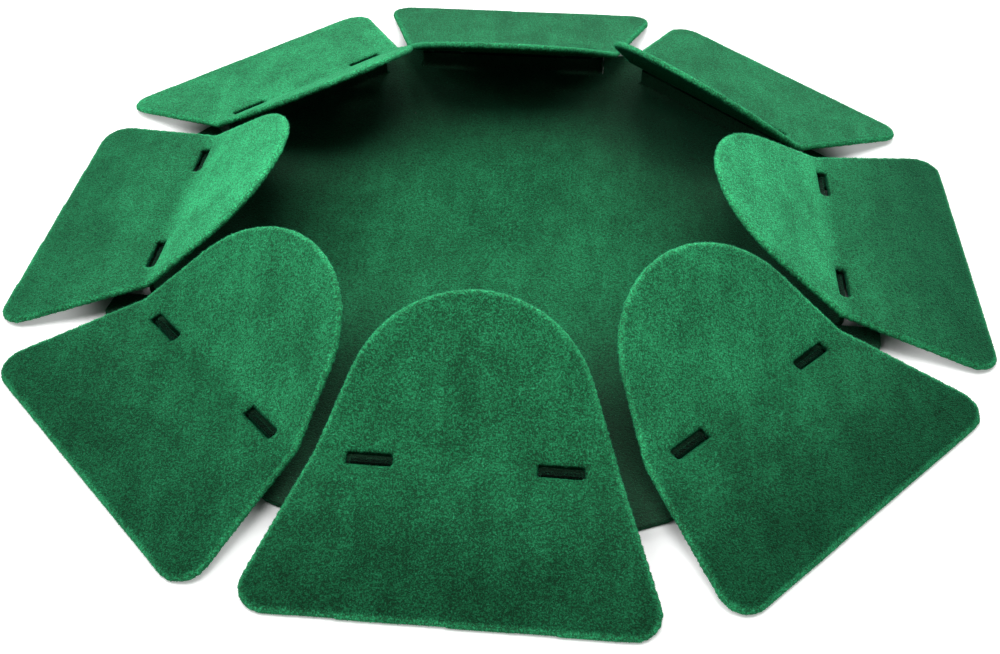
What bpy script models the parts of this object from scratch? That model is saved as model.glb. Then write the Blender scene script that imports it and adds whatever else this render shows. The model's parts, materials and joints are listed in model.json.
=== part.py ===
"""Indoor putting target: eight rocking flaps hooked round a flat octagonal base.

Each flap is a ramp that rises gently from the floor to a crease, and a round-ended tongue
that rises more steeply from the crease towards the middle. A ball rolls up a ramp and its
weight tips the tongue down to the base. Behind the ball the heavier ramp drops back, and
the raised tongues hold the ball in the cup. The base is one sheet with eight upright
flanges. Two tabs on each flange stand up through two slots at the flap's crease.

Units are metres and +Z is up. The origin is on the floor under the middle of the base, and
the front of the target faces -Y. Every station has its own frame, used for one flange and
its flap: X points outwards, Y runs along the crease and Z is up, from the floor point below
the middle of the crease.
"""

import math

import bmesh
import bpy
from mathutils import Matrix, Vector

# Sheet
SHEET = 0.0010  # thickness of base and flaps
RIM_ROUND = 0.00025  # rounding of the sheet's edges

# How the eight flaps sit, anticlockwise from the front: the tongue's extra slope and the
# station's turn about Z in degrees, and its slip outwards and along the crease. The bends
# are pressed by hand and the slots are loose, so no two flaps sit quite alike.
STATIONS = (
    ("flap_front", 5.0, -1.5, -0.0004, -0.0003),
    ("flap_front_right", 2.5, 0.5, 0.0008, 0.0),
    ("flap_right", -3.5, 0.0, 0.0004, 0.0),
    ("flap_back_right", 6.0, 1.5, -0.0010, 0.0003),
    ("flap_back", -4.5, -1.0, 0.0, 0.0010),
    ("flap_back_left", -4.0, -1.0, 0.0005, -0.0004),
    ("flap_left", 0.0, -2.0, -0.0016, 0.0),
    ("flap_front_left", 0.0, 0.0, 0.0003, 0.0005),
)
FRONT = -math.pi / 2
STATION_STEP = 2 * math.pi / len(STATIONS)
HALF_STEP = STATION_STEP / 2  # a station's middle to the line halfway to the next

# Layout
CREASE_RADIUS = 0.0665  # middle of the target to each crease, square to it
CREASE_HEIGHT = 0.0064  # floor to the flap's upper face at the crease
CREASE_GAP = 0.00215  # end of the crease to the halfway line, along the crease
EDGE_GAP = 0.00495  # end of the ramp's outer edge to the halfway line, along the edge
TONGUE_GAP = 0.0023  # tongue's round end to the halfway line

# Flap
RAMP_LENGTH = 0.0290
RAMP_CORNER = 0.0045  # radius of the two outer corners
TONGUE_LENGTH = 0.0286
TONGUE_SLOPE = math.radians(36.8)
CREASE_BEND = 0.0010  # inside radius of the bend

# Hinge
SLOT_LENGTH = 0.0078
SLOT_INSET = 0.0094  # end of the crease to the middle of the nearest slot
SLOT_OFFSET = 0.00085  # crease to the middle of a slot, down the ramp
TAB_PLAY = 0.0006  # between a tab's face and the slot, on each side
TAB_END_PLAY = 0.0005  # between a tab's end and the slot, at each end
TAB_RECESS = 0.0007  # top of a tab below the flap's upper face
FLANGE_PLAY = 0.0005  # between a flange's top and the flap that rocks over it

# Base
FLANGE_INSET = 0.0034  # end of the crease to the flange's end
FLANGE_BEND = 0.0010  # radius of the bend at the middle of the sheet
RELIEF = 0.0003  # gap of the cut beside a flange, which lets it bend up
EAR_REACH = 0.0079  # crease to the sides of the octagon that the base is cut from
EAR_CUT = 0.0014  # cut off each of the octagon's corners, along its diagonal

# Round stretches
CORNER_STEPS = 6
END_STEPS = 28
BEND_STEPS = 3
FLAP_RIM_STEPS = 2
BASE_RIM_STEPS = 1
RIM_ANGLE = math.radians(50)  # edges sharper than this are rounded
SMOOTH_ANGLE = math.radians(30)  # edges flatter than this are shaded smooth

# Linear RGB of the flock
BASE_GREEN = (0.008, 0.115, 0.048)
FLAP_GREEN = (0.010, 0.150, 0.062)

# Sizes that follow from the ones above
CREASE_WIDTH = 2 * (CREASE_RADIUS * math.tan(HALF_STEP) - CREASE_GAP)
RAMP_WIDTH = 2 * ((CREASE_RADIUS + RAMP_LENGTH) * math.tan(HALF_STEP) - EDGE_GAP)
RAMP_SLOPE = math.asin(CREASE_HEIGHT / math.hypot(RAMP_LENGTH, SHEET)) - math.atan2(SHEET, RAMP_LENGTH)
SLOT_SPACING = CREASE_WIDTH - 2 * SLOT_INSET
SLOT_WIDTH = SHEET + 2 * TAB_PLAY
SLOT_CUT = 3 * (SHEET + RIM_ROUND)  # height of the box that cuts a slot
TAB_LENGTH = SLOT_LENGTH - 2 * TAB_END_PLAY
FLANGE_WIDTH = CREASE_WIDTH - 2 * FLANGE_INSET
BLANK_APOTHEM = CREASE_RADIUS + EAR_REACH
EAR_RADIUS = BLANK_APOTHEM / math.cos(HALF_STEP) - EAR_CUT


def tongue_end_radius():
    """Radius of a tongue's round end that keeps TONGUE_GAP to the halfway line, seen from above."""
    flat = math.cos(TONGUE_SLOPE)
    spread = math.hypot(math.cos(HALF_STEP), flat * math.sin(HALF_STEP))
    room = (CREASE_RADIUS - TONGUE_LENGTH * flat) * math.sin(HALF_STEP) - TONGUE_GAP
    return room / (spread - flat * math.sin(HALF_STEP))


TONGUE_END = tongue_end_radius()


def ramp_point(down, along, below=0.0):
    """A point of the ramp in its station: down from the crease, and below the upper face."""
    return Vector(
        (
            down * math.cos(RAMP_SLOPE) - below * math.sin(RAMP_SLOPE),
            along,
            CREASE_HEIGHT - down * math.sin(RAMP_SLOPE) - below * math.cos(RAMP_SLOPE),
        )
    )


def tongue_point(inward, along, slope):
    """A point of the tongue's upper face in its station: inward from the crease."""
    return Vector((-inward * math.cos(slope), along, CREASE_HEIGHT + inward * math.sin(slope)))


# The flap rocks about a line through the middles of its slots, on its under face
PIVOT = ramp_point(SLOT_OFFSET, 0.0, SHEET)


def station_matrix(index):
    """Places a station's frame in the target."""
    _, _, turn, outward, along = STATIONS[index]
    angle = FRONT + index * STATION_STEP
    radial = Vector((math.cos(angle), math.sin(angle), 0.0))
    tangent = Vector((-math.sin(angle), math.cos(angle), 0.0))
    place = Matrix.Translation(radial * (CREASE_RADIUS + outward) + tangent * along)
    return place @ Matrix.Rotation(angle + math.radians(turn), 4, "Z")


def arc(centre, radius, start, end, steps):
    """Points of a round stretch from one angle to another, both ends included."""
    angles = [start + (end - start) * i / steps for i in range(steps + 1)]
    return [(centre[0] + radius * math.cos(a), centre[1] + radius * math.sin(a)) for a in angles]


def ramp_outline(start):
    """(down, along) round the ramp, from one end of the bend to the other."""
    half_in, half_out = CREASE_WIDTH / 2, RAMP_WIDTH / 2
    flare = math.atan2(half_out - half_in, RAMP_LENGTH)
    half_start = half_in + start * math.tan(flare)
    centre_down = RAMP_LENGTH - RAMP_CORNER
    centre_along = half_in + centre_down * math.tan(flare) - RAMP_CORNER / math.cos(flare)
    corner = arc((centre_down, centre_along), RAMP_CORNER, math.pi / 2 + flare, 0.0, CORNER_STEPS)
    other = [(down, -along) for down, along in reversed(corner)]
    return [(start, half_start), *corner, *other, (start, -half_start)]


def tongue_outline(start):
    """(inward, along) round the tongue, from one end of the bend to the other."""
    half = CREASE_WIDTH / 2
    centre = TONGUE_LENGTH - TONGUE_END
    touch = math.atan2(half, -centre) - math.acos(TONGUE_END / math.hypot(half, centre))
    end = arc((centre, 0.0), TONGUE_END, touch, -touch, END_STEPS)
    half_start = half + (end[0][1] - half) * start / end[0][0]
    return [(start, half_start), *end, (start, -half_start)]


def bend_rows(slope, tangent, half_ramp, half_tongue):
    """Pairs of points across the bend, from the ramp's end to the tongue's."""
    foot = ramp_point(tangent, 0.0)
    centre = foot + CREASE_BEND * Vector((math.sin(RAMP_SLOPE), 0.0, math.cos(RAMP_SLOPE)))
    rows = []
    for i in range(1, BEND_STEPS):
        share = i / BEND_STEPS
        angle = RAMP_SLOPE + (slope - RAMP_SLOPE) * share
        half = half_ramp + (half_tongue - half_ramp) * share
        middle = centre - CREASE_BEND * Vector((math.sin(angle), 0.0, math.cos(angle)))
        rows.append([middle + Vector((0.0, side * half, 0.0)) for side in (1, -1)])
    return rows


def flap_surface(slope):
    """The flap's upper face as a mesh, in its station."""
    tangent = CREASE_BEND * math.tan((slope - RAMP_SLOPE) / 2)
    ramp = [ramp_point(*point) for point in ramp_outline(tangent)]
    tongue = [tongue_point(*point, slope) for point in tongue_outline(tangent)]
    rows = bend_rows(slope, tangent, ramp[0].y, tongue[0].y)
    bm = bmesh.new()
    ramp_verts = [bm.verts.new(point) for point in ramp]
    tongue_verts = [bm.verts.new(point) for point in tongue]
    bm.faces.new(reversed(ramp_verts))
    bm.faces.new(tongue_verts)
    pairs = [(ramp_verts[0], ramp_verts[-1])]
    pairs += [tuple(bm.verts.new(point) for point in row) for row in rows]
    pairs.append((tongue_verts[0], tongue_verts[-1]))
    for (left, right), (next_left, next_right) in zip(pairs, pairs[1:]):
        bm.faces.new((right, left, next_left, next_right))
    return bm


def flange_outline():
    """(along, height) of the flange's upright face, with its two tabs."""
    low = SHEET / 2 + FLANGE_BEND
    top = PIVOT.z - FLANGE_PLAY
    tab_top = PIVOT.z + SHEET - TAB_RECESS
    half = FLANGE_WIDTH / 2
    near, far = [(SLOT_SPACING + side * TAB_LENGTH) / 2 for side in (-1, 1)]
    right = [(half, low), (half, top), (far, top), (far, tab_top), (near, tab_top), (near, top)]
    return right + [(-along, height) for along, height in reversed(right)]


def flange_rows():
    """(outwards, height) of the bend between the base's floor and a flange."""
    centre = (PIVOT.x - FLANGE_BEND, SHEET / 2 + FLANGE_BEND)
    return arc(centre, FLANGE_BEND, -math.pi / 2, 0.0, BEND_STEPS)


def add_flange(bm, place):
    """Adds a station's bend and flange, and returns the bend's two points on the floor."""
    pairs = []
    for outwards, height in flange_rows():
        ends = [Vector((outwards, side * FLANGE_WIDTH / 2, height)) for side in (-1, 1)]
        pairs.append([bm.verts.new(place @ end) for end in ends])
    for (left, right), (next_left, next_right) in zip(pairs, pairs[1:]):
        bm.faces.new((left, next_left, next_right, right))
    inner = [Vector((PIVOT.x, *point)) for point in flange_outline()[1:-1]]
    upright = [pairs[-1][1]] + [bm.verts.new(place @ point) for point in inner] + [pairs[-1][0]]
    bm.faces.new(reversed(upright))
    return pairs[0]


def ear_points(index, side):
    """The two floor points beside a flange: the relief cut's foot and its mouth."""
    along = side * (FLANGE_WIDTH / 2 + RELIEF)
    foot = Vector((flange_rows()[0][0], along, SHEET / 2))
    mouth = Vector((BLANK_APOTHEM - CREASE_RADIUS, along, SHEET / 2))
    return [station_matrix(index) @ point for point in (foot, mouth)]


def ear_corner(index):
    """The two ends of the cut-off corner between a station and the next."""
    half_cut = EAR_CUT / math.tan(HALF_STEP)
    turn = Matrix.Rotation(FRONT + index * STATION_STEP + HALF_STEP, 4, "Z")
    return [turn @ Vector((EAR_RADIUS, side * half_cut, SHEET / 2)) for side in (-1, 1)]


def base_surface():
    """The middle of the base's sheet as a mesh: a floor with a flange at each station."""
    bm = bmesh.new()
    outline = []
    for index in range(len(STATIONS)):
        before = [bm.verts.new(point) for point in reversed(ear_points(index, -1))]
        roots = add_flange(bm, station_matrix(index))
        after = [bm.verts.new(point) for point in ear_points(index, 1) + ear_corner(index)]
        outline += before + roots + after
    bm.faces.new(outline)
    return bm


def add_mesh_object(name, bm):
    mesh = bpy.data.meshes.new(name)
    bm.to_mesh(mesh)
    bm.free()
    obj = bpy.data.objects.new(name, mesh)
    bpy.context.scene.collection.objects.link(obj)
    return obj


def thicken(obj, offset, rim_steps):
    """Gives a surface the sheet's thickness and rounds the sheet's edges."""
    solid = obj.modifiers.new("Sheet", "SOLIDIFY")
    solid.thickness = SHEET
    solid.offset = offset
    solid.use_even_offset = True
    rim = obj.modifiers.new("Rim", "BEVEL")
    rim.width = RIM_ROUND
    rim.segments = rim_steps
    rim.limit_method = "ANGLE"
    rim.angle_limit = RIM_ANGLE
    obj.data.shade_smooth()
    obj.data.set_sharp_from_angle(angle=SMOOTH_ANGLE)


def flock_material(name, colour):
    material = bpy.data.materials.new(name)
    material.use_nodes = True
    shader = material.node_tree.nodes["Principled BSDF"]
    shader.inputs["Base Color"].default_value = (*colour, 1.0)
    shader.inputs["Roughness"].default_value = 0.95
    shader.inputs["Metallic"].default_value = 0.0
    shader.inputs["Sheen Weight"].default_value = 0.6
    return material


def add_slot_cutter(flap, name):
    """A guide with a box through each of the flap's two slots."""
    bm = bmesh.new()
    for side in (-1, 1):
        middle = ramp_point(SLOT_OFFSET, side * SLOT_SPACING / 2, SHEET / 2) - PIVOT
        size = Matrix.Diagonal((SLOT_WIDTH, SLOT_LENGTH, SLOT_CUT, 1.0))
        lean = Matrix.Rotation(RAMP_SLOPE, 4, "Y")
        bmesh.ops.create_cube(bm, size=1.0, matrix=Matrix.Translation(middle) @ lean @ size)
    cutter = add_mesh_object(name, bm)
    cutter.parent = flap
    cutter.hide_render = True
    cutter.display_type = "WIRE"
    cut = flap.modifiers.new("Slots", "BOOLEAN")
    cut.operation = "DIFFERENCE"
    cut.solver = "EXACT"
    cut.object = cutter


def add_flap(index):
    """One flap, with its origin on the line it rocks about."""
    name, extra_slope = STATIONS[index][:2]
    bm = flap_surface(TONGUE_SLOPE + math.radians(extra_slope))
    bmesh.ops.translate(bm, verts=bm.verts, vec=-PIVOT)
    flap = add_mesh_object(name, bm)
    flap.matrix_world = station_matrix(index) @ Matrix.Translation(PIVOT)
    flap.data.materials.append(flock_material(f"{name}_flock", FLAP_GREEN))
    thicken(flap, -1.0, FLAP_RIM_STEPS)
    add_slot_cutter(flap, f"{name}_slot_cutter")


def add_base():
    base = add_mesh_object("base_plate", base_surface())
    base.data.materials.append(flock_material("base_plate_flock", BASE_GREEN))
    thicken(base, 0.0, BASE_RIM_STEPS)


def main():
    for obj in list(bpy.data.objects):
        bpy.data.objects.remove(obj)
    add_base()
    for index in range(len(STATIONS)):
        add_flap(index)
    bpy.context.view_layer.update()


main()
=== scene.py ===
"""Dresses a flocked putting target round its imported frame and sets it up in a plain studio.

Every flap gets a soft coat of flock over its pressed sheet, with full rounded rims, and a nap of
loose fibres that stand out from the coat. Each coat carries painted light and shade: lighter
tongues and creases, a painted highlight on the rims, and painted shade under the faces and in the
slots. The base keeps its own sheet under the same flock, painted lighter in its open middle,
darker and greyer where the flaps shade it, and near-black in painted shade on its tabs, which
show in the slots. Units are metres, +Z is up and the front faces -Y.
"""

import json
import math

import bmesh
import bpy
import numpy as np
from bpy.props import FloatProperty, FloatVectorProperty, IntProperty, PointerProperty
from mathutils import Matrix, Vector, noise
from mathutils.bvhtree import BVHTree
from mathutils.kdtree import KDTree


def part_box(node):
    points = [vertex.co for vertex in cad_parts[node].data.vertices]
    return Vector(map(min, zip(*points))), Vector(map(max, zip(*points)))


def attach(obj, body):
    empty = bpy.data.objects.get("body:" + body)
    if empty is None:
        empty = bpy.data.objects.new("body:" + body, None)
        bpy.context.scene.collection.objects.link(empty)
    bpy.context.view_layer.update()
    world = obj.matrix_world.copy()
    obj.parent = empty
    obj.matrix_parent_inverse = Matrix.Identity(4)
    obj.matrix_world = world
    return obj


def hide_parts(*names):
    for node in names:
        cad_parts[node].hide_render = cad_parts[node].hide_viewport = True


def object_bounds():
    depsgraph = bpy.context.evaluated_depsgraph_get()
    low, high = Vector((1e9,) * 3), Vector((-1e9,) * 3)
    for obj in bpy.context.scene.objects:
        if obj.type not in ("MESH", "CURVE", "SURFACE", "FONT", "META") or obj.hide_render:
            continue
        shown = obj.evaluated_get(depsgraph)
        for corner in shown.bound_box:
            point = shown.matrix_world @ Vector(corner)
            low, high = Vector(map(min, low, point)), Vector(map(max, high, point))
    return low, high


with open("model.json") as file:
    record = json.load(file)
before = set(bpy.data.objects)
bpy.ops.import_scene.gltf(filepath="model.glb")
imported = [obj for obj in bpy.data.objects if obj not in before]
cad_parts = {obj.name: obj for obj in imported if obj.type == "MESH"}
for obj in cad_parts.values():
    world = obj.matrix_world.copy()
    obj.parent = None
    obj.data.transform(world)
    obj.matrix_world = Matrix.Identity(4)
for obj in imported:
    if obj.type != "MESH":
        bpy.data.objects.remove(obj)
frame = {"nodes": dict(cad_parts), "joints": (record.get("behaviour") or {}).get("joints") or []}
CAD_LOW, CAD_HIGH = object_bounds()

bl_info = {
    "name": "Flocked Putting Target",
    "version": (1, 0, 0),
    "blender": (4, 5, 0),
    "location": "View3D > Sidebar > Putting Target",
    "description": "Flocks a putting target's flaps and base and sets up a plain studio",
    "category": "Object",
}

BASE = "base_plate"
FLAPS = [joint["child"] for joint in frame["joints"]]

# Painted light and shade on each flap, as lightness at the ramp's outer edge, at its crease, on
# its tongue: lighter tongues and creases, and flaps lighter or darker by how the light falls on
# them
PAINTED_LIGHT_TONES = {
    "flap_front": (0.88, 1.70, 2.10),
    "flap_front_right": (0.65, 1.50, 2.50),
    "flap_right": (0.68, 1.55, 3.15),
    "flap_back_right": (1.55, 1.50, 2.20),
    "flap_back": (1.35, 1.45, 2.00),
    "flap_back_left": (2.45, 2.65, 2.80),
    "flap_left": (1.32, 1.85, 3.85),
    "flap_front_left": (0.95, 1.60, 2.30),
}
HINGES = {joint["child"]: joint for joint in frame["joints"]}
LOWEST = CAD_LOW.z

# The strip along a hinge line that holds both slots: half its width and half its length
STRIP_HALF_WIDTH = 0.0021
STRIP_HALF_LENGTH = 0.022

# Edges of a sheet that bend more sharply than this, in radians, belong to its outline
OUTLINE_BEND = 0.6
OUTLINE_STEP = 0.0003

# Noise cells for each metre
SPECKLE = 3600.0
TUFTS = 1900.0
CLOUDS = 95.0
BRUSHED = (260.0, 60.0, 60.0)
BRUSHED_TURN = 0.5
RAGGED = 1500.0
COAT_TUFTS = 1400.0
COAT_WAVES = 160.0

# A fibre with a shade over 1 is lint
LINT_SHADE = 2.0

WHITE = (1.0, 1.0, 1.0, 1.0)
BLACK = (0.0, 0.0, 0.0, 1.0)


# Node building


class Wire:
    """A shader value that can be used in plain arithmetic."""

    def __init__(self, bench, socket):
        self.bench = bench
        self.socket = socket

    def _math(self, operation, first, second):
        return self.bench.node("Math", {"operation": operation}, {0: first, 1: second})

    def __add__(self, other):
        return self._math("ADD", self, other)

    __radd__ = __add__

    def __sub__(self, other):
        return self._math("SUBTRACT", self, other)

    def __rsub__(self, other):
        return self._math("SUBTRACT", other, self)

    def __mul__(self, other):
        return self._math("MULTIPLY", self, other)

    __rmul__ = __mul__


class Bench:
    """The nodes of a material or a world, made one at a time by node()."""

    def __init__(self, owner):
        owner.use_nodes = True
        self.tree = owner.node_tree
        self.tree.nodes.clear()

    def node(self, kind, settings=None, inputs=None, output=0):
        """Adds a node, sets it up, feeds its sockets and returns one of its outputs."""
        made = self.tree.nodes.new(f"ShaderNode{kind}")
        for name, value in (settings or {}).items():
            setattr(made, name, value)
        for key, value in (inputs or {}).items():
            if isinstance(value, Wire):
                self.tree.links.new(value.socket, made.inputs[key])
            else:
                made.inputs[key].default_value = value
        return Wire(self, made.outputs[output]) if made.outputs else made

    def noise(self, place, scale, detail=2.0, roughness=0.5, distortion=0.0):
        values = {
            "Vector": place,
            "Scale": scale,
            "Detail": detail,
            "Roughness": roughness,
            "Distortion": distortion,
        }
        return self.node("TexNoise", {"noise_dimensions": "3D"}, values)

    def stretch(self, place, factors, turn=0.0):
        """Coordinates turned about Z and then scaled, for a grain that runs one way."""
        values = {"Vector": place, "Rotation": (0.0, 0.0, turn), "Scale": factors}
        return self.node("Mapping", {"vector_type": "POINT"}, values)

    def between(self, value, low, high):
        """0 below low and 1 above high, with a soft step."""
        values = {"Value": value, "From Min": low, "From Max": high}
        return self.node("MapRange", {"interpolation_type": "SMOOTHSTEP"}, values)

    def mix(self, share, first, second):
        """One colour into another by a share."""
        values = {0: share, 6: first, 7: second}
        return self.node("Mix", {"data_type": "RGBA"}, values, output=2)

    def bump(self, height, strength, distance, under=None):
        values = {"Height": height, "Strength": strength, "Distance": distance}
        if under is not None:
            values["Normal"] = under
        return self.node("Bump", {}, values)

    def scale(self, colour, factor):
        """A colour made lighter or darker by a value."""
        return self.node("VectorMath", {"operation": "SCALE"}, {0: colour, "Scale": factor})

    def object_place(self):
        """Coordinates that stay with the object, in metres."""
        return self.node("TexCoord", output="Object")

    def attribute(self, name):
        return self.node("Attribute", {"attribute_name": name}, output="Fac")

    def length(self, place):
        return self.node("VectorMath", {"operation": "LENGTH"}, {0: place}, output="Value")

    def finish(self, surface, output="OutputMaterial"):
        self.node(output, {}, {"Surface": surface})


def rgba(colour):
    return (*colour, 1.0)


# Settings


class FlockSettings(bpy.types.PropertyGroup):
    """The flock and how it lies on the sheets."""

    coat: FloatProperty(
        name="Coat",
        description="How far the flock stands off the sheet's upper face and rims",
        default=0.00026,
        min=0.0,
        unit="LENGTH",
    )
    under_coat: FloatProperty(
        name="Under Coat",
        description="How far the flock stands off the under face and in the slots",
        default=0.00004,
        min=0.0,
        unit="LENGTH",
    )
    mesh_size: FloatProperty(
        name="Mesh Size",
        description="Width of the coat's mesh faces",
        default=0.00045,
        min=0.0002,
        unit="LENGTH",
    )
    relief: FloatProperty(
        name="Relief",
        description="Height of the tufts in the coat's surface",
        default=0.00005,
        min=0.0,
        unit="LENGTH",
    )
    fibre_length: FloatProperty(
        name="Fibre Length",
        description="Mean length of a loose fibre above the coat",
        default=0.00028,
        min=0.0,
        unit="LENGTH",
    )
    fibre_width: FloatProperty(
        name="Fibre Width",
        description="Width of a loose fibre at its root",
        default=0.00006,
        min=0.0,
        unit="LENGTH",
    )
    rim_density: FloatProperty(
        name="Rim Density",
        description="Loose fibres for each square millimetre of a rim",
        default=34.0,
        min=0.0,
    )
    face_density: FloatProperty(
        name="Face Density",
        description="Loose fibres for each square millimetre of an upper face",
        default=2.0,
        min=0.0,
    )
    lint_share: FloatProperty(
        name="Lint Share",
        description="Share of the loose fibres that are pale lint",
        default=0.0004,
        min=0.0,
        max=1.0,
    )
    # Painted highlight: how much lighter the flock is painted on the rims
    painted_rim_highlight: FloatProperty(
        name="Rim Tone",
        description="How much lighter the flock is on the rims",
        default=1.9,
        min=0.0,
    )
    seed: IntProperty(
        name="Seed", description="Start of the random scatter", default=11, min=0
    )
    deep: FloatVectorProperty(
        name="Deep Green",
        description="Colour between the fibres",
        subtype="COLOR",
        size=3,
        default=(0.0080, 0.042, 0.018),
        min=0.0,
        max=1.0,
    )
    green: FloatVectorProperty(
        name="Green",
        description="Colour of the fibres' sides",
        subtype="COLOR",
        size=3,
        default=(0.0120, 0.132, 0.051),
        min=0.0,
        max=1.0,
    )
    tips: FloatVectorProperty(
        name="Tips",
        description="Colour of the fibres' tips where the light catches them",
        subtype="COLOR",
        size=3,
        default=(0.040, 0.300, 0.150),
        min=0.0,
        max=1.0,
    )
    sheen: FloatVectorProperty(
        name="Sheen",
        description="Colour of the flock's soft sheen",
        subtype="COLOR",
        size=3,
        default=(0.010, 0.190, 0.086),
        min=0.0,
        max=1.0,
    )
    # Painted shade: a greyer, darker green towards the base's flanges, where the flaps shade it
    painted_shade_green: FloatVectorProperty(
        name="Painted Shade Green",
        description="Greyer colour towards the base's flanges",
        subtype="COLOR",
        size=3,
        default=(0.026, 0.040, 0.030),
        min=0.0,
        max=1.0,
    )
    lint: FloatVectorProperty(
        name="Lint",
        description="Colour of the pale lint caught in the flock",
        subtype="COLOR",
        size=3,
        default=(0.75, 0.78, 0.74),
        min=0.0,
        max=1.0,
    )
    # Painted shade: near-black for the tabs, which show only in the shaded slots
    painted_tab_shade: FloatVectorProperty(
        name="Painted Tab Shade",
        description="Colour of the tabs where the flaps have rubbed the flock away",
        subtype="COLOR",
        size=3,
        default=(0.003, 0.0026, 0.0026),
        min=0.0,
        max=1.0,
    )


class StudioSettings(bpy.types.PropertyGroup):
    """The floor, the lights and the camera."""

    floor: FloatVectorProperty(
        name="Floor",
        description="Colour of the floor",
        subtype="COLOR",
        size=3,
        default=(0.92, 0.92, 0.92),
        min=0.0,
        max=1.0,
    )
    sky: FloatProperty(
        name="Sky", description="Strength of the light from all round", default=0.12, min=0.0
    )
    lens: FloatProperty(
        name="Lens",
        description="Focal length on a 36 mm wide sensor",
        default=45.43,
        min=10.0,
        subtype="DISTANCE_CAMERA",
    )
    distance: FloatProperty(
        name="Distance",
        description="Camera to the point it looks at",
        default=0.2426,
        min=0.05,
        unit="LENGTH",
    )
    azimuth: FloatProperty(
        name="Azimuth",
        description="Camera's turn round the target from the front, to the right",
        default=math.radians(4.37),
        subtype="ANGLE",
    )
    elevation: FloatProperty(
        name="Elevation",
        description="Camera's angle above the floor",
        default=math.radians(42.63),
        subtype="ANGLE",
    )
    roll: FloatProperty(
        name="Roll",
        description="Camera's turn about its line of sight",
        default=math.radians(-0.40),
        subtype="ANGLE",
    )
    aim: FloatVectorProperty(
        name="Aim",
        description="Point that the camera looks at",
        subtype="TRANSLATION",
        size=3,
        default=(0.00253, -0.02606, 0.0),
    )


# Flock


class FlockPattern:
    """The flock's grain: fine speckle and tufts, soft brushed patches, and their colour."""

    def __init__(self, bench, flock):
        self.place = bench.object_place()
        self.speckle = bench.noise(self.place, SPECKLE, 2.0, 0.7)
        tufts = bench.noise(self.place, TUFTS, 2.0, 0.6)
        clouds = bench.noise(self.place, CLOUDS, 6.0, 0.7, 0.5)
        strokes = bench.stretch(self.place, BRUSHED, BRUSHED_TURN)
        brushed = bench.noise(strokes, 1.0, 3.0, 0.55)
        self.fine = bench.between(self.speckle * 0.65 + tufts * 0.35, 0.39, 0.61)
        self.patch = bench.between(clouds * 0.65 + brushed * 0.35, 0.28, 0.72)
        lit = bench.between(self.fine * 0.72 + self.patch * 0.28, 0.08, 0.92)
        colour = bench.mix(lit, rgba(flock.deep), rgba(flock.green))
        spark = bench.between(self.speckle + self.patch * 0.06, 0.60, 0.78)
        self.colour = bench.mix(spark * 0.45, colour, rgba(flock.tips))
        self.roughness = 0.86 + 0.1 * self.fine


def finish_flock(bench, flock, pattern, colour, roughness):
    """A velvet shader over the grain, which also bumps the surface."""
    soft = bench.bump(pattern.patch, 0.35, 0.0004)
    height = pattern.fine * 0.7 + pattern.speckle * 0.3
    values = {
        "Base Color": colour,
        "Roughness": roughness,
        "Normal": bench.bump(height, 0.8, 0.0002, soft),
        "Sheen Weight": 1.0,
        "Sheen Roughness": 0.42,
        "Sheen Tint": rgba(flock.sheen),
        "Specular IOR Level": 0.03,
    }
    bench.finish(bench.node("BsdfPrincipled", {}, values))


def flap_material(flock):
    """Flock whose lightness follows the painted light and shade kept in the coat's mesh."""
    material = bpy.data.materials.new("green_flock")
    bench = Bench(material)
    pattern = FlockPattern(bench, flock)
    painted_light_tone = bench.attribute("painted_light_tone") * (0.82 + 0.36 * pattern.patch)
    finish_flock(bench, flock, pattern, bench.scale(pattern.colour, painted_light_tone), pattern.roughness)
    return material


def base_material(flock, shaded_tabs_above):
    """Flock with painted light and shade: lighter in the open middle, darker and greyer towards
    the flanges under the flaps, and near-black on the tabs in the slots.
    """
    material = bpy.data.materials.new("green_flock_painted_shade")
    bench = Bench(material)
    pattern = FlockPattern(bench, flock)
    # Painted light and shade: lighter in the open middle, darker and greyer towards the flanges
    # under the flaps
    middle = bench.between(bench.length(pattern.place), 0.060, 0.020)
    painted_light_tone = (0.5 + 1.3 * middle) * (0.9 + 0.2 * pattern.patch)
    colour = bench.mix(0.5 - 0.5 * middle, bench.scale(pattern.colour, painted_light_tone), rgba(flock.painted_shade_green))
    # Painted shade: near-black on the tabs, which show only in the shaded slots
    height = bench.node("SeparateXYZ", {}, {0: pattern.place}, output="Z")
    ragged = height + bench.noise(pattern.place, RAGGED, 2.0) * 0.0003
    shaded_tabs = bench.between(ragged, shaded_tabs_above, shaded_tabs_above + 0.0002)
    colour = bench.mix(shaded_tabs, colour, rgba(flock.painted_tab_shade))
    finish_flock(bench, flock, pattern, colour, pattern.roughness - shaded_tabs * 0.2)
    return material


def fibre_material(flock):
    """Single fibres, each a little lighter or darker than the next, and pale lint."""
    material = bpy.data.materials.new("loose_fibres")
    bench = Bench(material)
    shade = bench.attribute("shade")
    colour = bench.mix(shade, rgba(flock.green), rgba(flock.tips))
    is_lint = bench.between(shade, 1.1, 1.6)
    colour = bench.mix(is_lint, bench.scale(colour, 1.7), rgba(flock.lint))
    values = {
        "Base Color": colour,
        "Roughness": 0.75,
        "Sheen Weight": 1.0,
        "Sheen Roughness": 0.45,
        "Sheen Tint": rgba(flock.sheen),
        "Specular IOR Level": 0.05,
    }
    bench.finish(bench.node("BsdfPrincipled", {}, values))
    return material


def vertex_array(mesh):
    values = np.zeros(len(mesh.vertices) * 3)
    mesh.vertices.foreach_get("co", values)
    return values.reshape(-1, 3)


def keep_values(mesh, name, values):
    """Stores one number for each vertex, for a material to read."""
    mesh.attributes.new(name, "FLOAT", "POINT").data.foreach_set("value", values)


def add_piece(name, mesh, material, body):
    """An object of one material that moves with a CAD body."""
    mesh.materials.clear()
    mesh.materials.append(material)
    piece = bpy.data.objects.new(name, mesh)
    bpy.context.scene.collection.objects.link(piece)
    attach(piece, body)
    return piece


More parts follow.
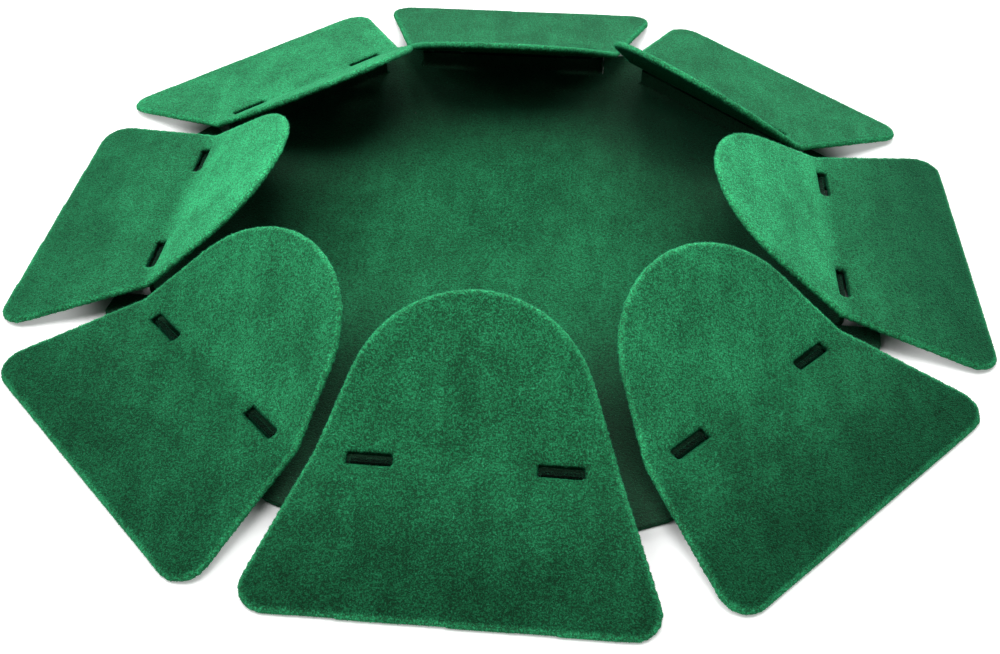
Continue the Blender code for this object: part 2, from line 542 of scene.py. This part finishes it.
def smooth_step(values, low, high):
    share = np.clip((values - low) / (high - low), 0.0, 1.0)
    return share * share * (3 - 2 * share)


def even_mesh(node, size):
    """A copy of a CAD node's shape with small even faces."""
    copy = bpy.data.objects.new("even", frame["nodes"][node].data.copy())
    bpy.context.scene.collection.objects.link(copy)
    remesh = copy.modifiers.new("Even", "REMESH")
    remesh.mode = "VOXEL"
    remesh.voxel_size = size
    evaluated = copy.evaluated_get(bpy.context.evaluated_depsgraph_get())
    mesh = bpy.data.meshes.new_from_object(evaluated)
    bpy.data.objects.remove(copy)
    return mesh


def hinge_slots(node, points):
    """Mask of the points in the narrow strip where the hinge line passes the slots."""
    hinge = HINGES[node]
    from_hinge = points - np.array(hinge["pos_m"])
    along = from_hinge @ np.array(hinge["axis"])
    apart = np.linalg.norm(from_hinge - np.outer(along, hinge["axis"]), axis=1)
    return (apart < STRIP_HALF_WIDTH) & (np.abs(along) < STRIP_HALF_LENGTH)


def painted_flap_light(node, points):
    """Painted light and shade at each point of a flap, above and underneath: lighter creases and
    tongues, a tongue lighter towards its tip, and painted shade under the faces, darkest under
    the tongue.
    """
    hinge = HINGES[node]
    inwards = np.cross(hinge["axis"], (0.0, 0.0, 1.0))
    past_hinge = (points - np.array(hinge["pos_m"])) @ inwards
    outer, crease, tongue = PAINTED_LIGHT_TONES[node]
    ramp = crease + (outer - crease) * smooth_step(-past_hinge, 0.002, 0.024)
    # Painted light: the tongue lighter towards its tip
    tongue = tongue * (1.0 + 0.12 * smooth_step(past_hinge, 0.010, 0.022))
    above = ramp + (tongue - ramp) * smooth_step(past_hinge, -0.002, 0.003)
    # Painted shade under the faces, darkest under the tongue
    return above, above * (0.25 - 0.17 * smooth_step(past_hinge, 0.0, 0.004))


def outline_points(node):
    """Points along the edges of a flap's sheet, without those of its slots."""
    shape = bmesh.new()
    shape.from_mesh(frame["nodes"][node].data)
    bmesh.ops.remove_doubles(shape, verts=shape.verts, dist=1e-6)
    points = []
    for edge in shape.edges:
        if len(edge.link_faces) == 2 and edge.calc_face_angle() > OUTLINE_BEND:
            start, end = (vert.co for vert in edge.verts)
            steps = max(1, round(edge.calc_length() / OUTLINE_STEP))
            points += [start.lerp(end, step / steps) for step in range(steps + 1)]
    shape.free()
    points = np.array(points)
    return points[~hinge_slots(node, points)]


def rim_highlight_and_nap(node, points):
    """1 on the very rim and 0 inside it, for the painted highlight on the rims and for the rims'
    denser loose fibres.
    """
    outline = outline_points(node)
    tree = KDTree(len(outline))
    for index, place in enumerate(outline):
        tree.insert(place, index)
    tree.balance()
    distance = np.array([tree.find(point)[2] for point in points])
    return 1.0 - smooth_step(distance, 0.0002, 0.0009)


def neighbour_mean(points, edges):
    total = np.zeros_like(points)
    count = np.zeros(len(points))
    for first, second in ((0, 1), (1, 0)):
        np.add.at(total, edges[:, first], points[edges[:, second]])
        np.add.at(count, edges[:, first], 1)
    return total / count[:, None]


def sheet_under(node, points):
    """The nearest point on a flap's sheet to each point, and the way the sheet faces there."""
    sheet = frame["nodes"][node].data
    corners = [tuple(vertex.co) for vertex in sheet.vertices]
    faces = [tuple(polygon.vertices) for polygon in sheet.polygons]
    tree = BVHTree.FromPolygons(corners, faces)
    nearest = [tree.find_nearest(point) for point in points]
    return np.array([hit[0] for hit in nearest]), np.array([hit[1] for hit in nearest])


def ease(points, edges, fixed, rounds=3):
    """Rounds a surface by moving its points halfway to the mean of their neighbours."""
    for _ in range(rounds):
        moved = points + 0.5 * (neighbour_mean(points, edges) - points)
        points = np.where(fixed[:, None], points, moved)
    return points


def edge_ends(mesh):
    ends = np.zeros(len(mesh.edges) * 2, np.int64)
    mesh.edges.foreach_get("vertices", ends)
    return ends.reshape(-1, 2)


def relief(points, upper):
    """Tufts and soft waves for each point, much flatter on the under face."""
    tufts = np.array([noise.fractal(Vector(p) * COAT_TUFTS, 0.6, 2.1, 2) for p in points])
    waves = np.array([noise.noise(Vector(p) * COAT_WAVES) for p in points])
    return (tufts * 0.7 + waves * 0.6) * (0.3 + 0.7 * upper)


def painted_coat_light(node, flock, coat, upper, in_slot):
    """Painted light and shade at each point of the coat: a painted highlight on the rims, painted
    shade on the under faces and near-black painted shade in the slots.
    """
    above, under = painted_flap_light(node, coat)
    # Painted highlight on the rims
    above += flock.painted_rim_highlight * rim_highlight_and_nap(node, coat)
    tones = under + (above - under) * upper
    # Painted shade in the slots
    tones[in_slot] *= 0.1
    return tones


def coat_flap(node, flock):
    """The flap's sheet under its flock: even mesh, rounded rims, tufted surface."""
    mesh = even_mesh(node, flock.mesh_size)
    normals = np.array([vertex.normal for vertex in mesh.vertices])
    on_sheet, facing = sheet_under(node, vertex_array(mesh))
    upper = smooth_step(facing[:, 2], -0.75, -0.25)
    in_slot = hinge_slots(node, on_sheet) & (np.abs(facing[:, 2]) < 0.5)
    depth = flock.under_coat + (flock.coat - flock.under_coat) * upper * ~in_slot
    coat = ease(on_sheet + normals * depth[:, None], edge_ends(mesh), in_slot)
    coat += normals * (relief(coat, upper) * flock.relief)[:, None]
    coat[:, 2] = np.maximum(coat[:, 2], LOWEST)
    mesh.vertices.foreach_set("co", coat.ravel())
    # The painted light and shade, kept for the material to read
    keep_values(mesh, "painted_light_tone", painted_coat_light(node, flock, coat, upper, in_slot))
    mesh.shade_smooth()
    mesh.update()
    return mesh


def triangles(obj):
    """Corners of a mesh's triangles, and their areas and normals."""
    mesh = obj.data
    mesh.calc_loop_triangles()
    corners = np.zeros(len(mesh.loop_triangles) * 3, np.int64)
    mesh.loop_triangles.foreach_get("vertices", corners)
    places = vertex_array(mesh)[corners.reshape(-1, 3)]
    crossed = np.cross(places[:, 1] - places[:, 0], places[:, 2] - places[:, 0])
    twice = np.linalg.norm(crossed, axis=1)
    return places, twice / 2, crossed / np.maximum(twice, 1e-15)[:, None]


def scatter(places, areas, normals, density, rng):
    """Random points on triangles, with so many for each square metre, and their normals."""
    chance = areas * density
    total = int(chance.sum())
    picked = rng.choice(len(areas), total, p=chance / chance.sum())
    first, second = rng.random((2, total))
    folded = first + second > 1
    first[folded], second[folded] = 1 - first[folded], 1 - second[folded]
    corner = places[picked]
    spots = (
        corner[:, 0]
        + first[:, None] * (corner[:, 1] - corner[:, 0])
        + second[:, None] * (corner[:, 2] - corner[:, 0])
    )
    return spots, normals[picked]


def fibre_mesh(name, roots, directions, lengths, width, shades, rng):
    """Thin three-sided spikes, closed at the root, which is sunk in the coat."""
    count = len(roots)
    helper = rng.normal(size=(count, 3))
    across = np.cross(directions, helper)
    across /= np.linalg.norm(across, axis=1)[:, None]
    sideways = np.cross(directions, across)
    verts = np.zeros((count, 4, 3))
    for corner in range(3):
        turn = 2 * math.pi * corner / 3
        spread = across * math.cos(turn) + sideways * math.sin(turn)
        verts[:, corner] = roots + spread * width / 2
    verts[:, 3] = roots + directions * lengths[:, None]
    verts[..., 2] = np.maximum(verts[..., 2], LOWEST)
    faces = np.array([(1, 0, 2), (0, 1, 3), (1, 2, 3), (2, 0, 3)])
    faces = (faces[None] + 4 * np.arange(count)[:, None, None]).reshape(-1, 3)
    mesh = bpy.data.meshes.new(name)
    mesh.vertices.add(count * 4)
    mesh.vertices.foreach_set("co", verts.ravel())
    mesh.loops.add(faces.size)
    mesh.loops.foreach_set("vertex_index", faces.ravel())
    mesh.polygons.add(len(faces))
    mesh.polygons.foreach_set("loop_start", np.arange(0, faces.size, 3))
    mesh.update(calc_edges=True)
    keep_values(mesh, "shade", np.repeat(shades, 4))
    mesh.shade_smooth()
    return mesh


def add_nap(obj, body, name, flock, material, rim_weight, rng):
    """Loose fibres over an object's upper faces, much denser on its rims."""
    places, areas, normals = triangles(obj)
    rims = rim_weight(places.mean(1), normals)
    tops = smooth_step(normals[:, 2], 0.2, 0.6)
    density = (rims * flock.rim_density + tops * flock.face_density) * 1e6
    roots, facing = scatter(places, areas, normals, density, rng)
    directions = facing + rng.normal(scale=0.38, size=facing.shape)
    directions /= np.linalg.norm(directions, axis=1)[:, None]
    lengths = flock.fibre_length * rng.uniform(0.45, 1.35, len(roots))
    shades = rng.uniform(0.0, 1.0, len(roots)) ** 2
    shades[rng.random(len(roots)) < flock.lint_share] = LINT_SHADE
    roots = roots - facing * flock.fibre_width
    mesh = fibre_mesh(name, roots, directions, lengths, flock.fibre_width, shades, rng)
    return add_piece(name, mesh, material, body)


class PUTT_OT_flock_flaps(bpy.types.Operator):
    """Coat every flap with flock and stand loose fibres on its rims and faces."""

    bl_idname = "putt.flock_flaps"
    bl_label = "Flock the Flaps"

    def execute(self, context):
        flock = context.scene.putt_flock
        material = flap_material(flock)
        fibres = fibre_material(flock)
        rng = np.random.default_rng(flock.seed)
        for node in FLAPS:
            piece = add_piece(f"{node}_flocked", coat_flap(node, flock), material, node)
            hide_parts(node)

            def on_rim(centres, normals, node=node):
                return rim_highlight_and_nap(node, centres) * (centres[:, 2] > LOWEST + 0.0001)

            nap = add_nap(piece, node, f"{node}_nap", flock, fibres, on_rim, rng)
        return {"FINISHED"}


class PUTT_OT_flock_base(bpy.types.Operator):
    """Flock the base's sheet, near-black in painted shade on its tabs, with loose fibres on its
    floor and rims.
    """

    bl_idname = "putt.flock_base"
    bl_label = "Flock the Base"

    def execute(self, context):
        flock = context.scene.putt_flock
        base = frame["nodes"][BASE]
        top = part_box(BASE)[1].z
        # Painted shade on the tabs starts 1.1 mm below the base's top
        material = base_material(flock, shaded_tabs_above=top - 0.0011)
        for slot in base.material_slots:
            slot.material = material
        rng = np.random.default_rng(flock.seed + 1)

        def low_rims(centres, normals):
            low = (centres[:, 2] < 0.0013) & (centres[:, 2] > LOWEST + 0.0002)
            return 0.3 * low * smooth_step(0.93 - np.abs(normals[:, 2]), 0.0, 0.25)

        nap = add_nap(base, "base", "base_nap", flock, fibre_material(flock), low_rims, rng)
        return {"FINISHED"}


# Studio

LIGHTS = (
    # name, azimuth and elevation in degrees, distance, size, power
    ("top", 0.0, 90.0, 1.6, 1.0, 17.9),
    ("back", 180.0, 15.0, 1.6, 0.75, 31.5),
    ("back_right", 135.0, 15.0, 1.6, 0.75, 9.5),
    ("left", -90.0, 45.0, 1.6, 1.0, 12.0),
)

FLOOR_RADIUS = 0.42
FLOOR_SIDES = 96
GLOW_START = 0.079
GLOW_FULL = 0.089


def around(azimuth, elevation, distance):
    """A point seen from the middle; azimuth 0 is the front and 90 the right."""
    flat = math.cos(elevation)
    direction = Vector((math.sin(azimuth) * flat, -math.cos(azimuth) * flat, math.sin(elevation)))
    return direction * distance


def floor_material(colour):
    """A pale table top that glows a little round the target, to keep its shadows light."""
    material = bpy.data.materials.new("studio_floor")
    bench = Bench(material)
    outside = bench.between(bench.length(bench.object_place()), GLOW_START, GLOW_FULL)
    values = {
        "Base Color": rgba(colour),
        "Roughness": 0.9,
        "Specular IOR Level": 0.1,
        "Emission Color": bench.mix(outside, BLACK, WHITE),
        "Emission Strength": 0.35,
    }
    bench.finish(bench.node("BsdfPrincipled", {}, values))
    return material


def add_floor(colour):
    corners = []
    for step in range(FLOOR_SIDES):
        turn = 2 * math.pi * step / FLOOR_SIDES
        corners.append((FLOOR_RADIUS * math.cos(turn), FLOOR_RADIUS * math.sin(turn), LOWEST))
    mesh = bpy.data.meshes.new("studio_floor")
    mesh.from_pydata(corners, [], [range(FLOOR_SIDES)])
    floor = bpy.data.objects.new("studio_floor", mesh)
    bpy.context.scene.collection.objects.link(floor)
    floor.data.materials.append(floor_material(colour))


def add_light(name, azimuth, elevation, distance, size, power):
    lamp = bpy.data.lights.new(name, "AREA")
    lamp.shape = "SQUARE"
    lamp.size = size
    lamp.energy = power
    light = bpy.data.objects.new(name, lamp)
    bpy.context.scene.collection.objects.link(light)
    place = around(math.radians(azimuth), math.radians(elevation), distance)
    light.location = place
    light.rotation_euler = (-place).to_track_quat("-Z", "Y").to_euler()
    light.visible_camera = False


def add_sky(strength):
    """A white room to look at, which gives only a little of the light."""
    world = bpy.data.worlds.new("studio_sky")
    bench = Bench(world)
    looked_at = bench.node("LightPath", output="Is Camera Ray")
    level = strength + looked_at * (1.0 - strength)
    background = bench.node("Background", {}, {"Color": WHITE, "Strength": level})
    bench.finish(background, "OutputWorld")
    bpy.context.scene.world = world


def add_camera(studio):
    lens = bpy.data.cameras.new("camera")
    lens.sensor_width = 36.0
    lens.lens = studio.lens
    lens.clip_start = 0.01
    lens.clip_end = 20.0
    camera = bpy.data.objects.new("camera", lens)
    bpy.context.scene.collection.objects.link(camera)
    back = around(studio.azimuth, studio.elevation, studio.distance)
    turn = (-back).to_track_quat("-Z", "Y").to_matrix().to_4x4()
    roll = Matrix.Rotation(studio.roll, 4, "Z")
    camera.matrix_world = Matrix.Translation(Vector(studio.aim) + back) @ turn @ roll
    bpy.context.scene.camera = camera


class PUTT_OT_studio(bpy.types.Operator):
    """Set the target on a pale floor under soft light, with a camera."""

    bl_idname = "putt.studio"
    bl_label = "Set Up the Studio"

    def execute(self, context):
        studio = context.scene.putt_studio
        add_floor(studio.floor)
        for light in LIGHTS:
            add_light(*light)
        add_sky(studio.sky)
        add_camera(studio)
        context.scene.view_settings.view_transform = "Standard"
        return {"FINISHED"}


class PUTT_PT_sidebar(bpy.types.Panel):
    """The steps, in the order they are run."""

    bl_label = "Putting Target"
    bl_idname = "PUTT_PT_sidebar"
    bl_space_type = "VIEW_3D"
    bl_region_type = "UI"
    bl_category = "Putting Target"

    def draw(self, context):
        layout = self.layout
        for operator in OPERATORS:
            layout.operator(operator.bl_idname)
        for settings in (context.scene.putt_flock, context.scene.putt_studio):
            box = layout.box()
            for name in settings.__annotations__:
                box.prop(settings, name)


OPERATORS = (PUTT_OT_flock_flaps, PUTT_OT_flock_base, PUTT_OT_studio)
CLASSES = (FlockSettings, StudioSettings, *OPERATORS, PUTT_PT_sidebar)


def register():
    for item in CLASSES:
        bpy.utils.register_class(item)
    bpy.types.Scene.putt_flock = PointerProperty(type=FlockSettings)
    bpy.types.Scene.putt_studio = PointerProperty(type=StudioSettings)


def unregister():
    del bpy.types.Scene.putt_studio
    del bpy.types.Scene.putt_flock
    for item in reversed(CLASSES):
        bpy.utils.unregister_class(item)


def main():
    register()
    bpy.ops.putt.flock_flaps()
    bpy.ops.putt.flock_base()
    bpy.ops.putt.studio()


if __name__ == "__main__":
    main()
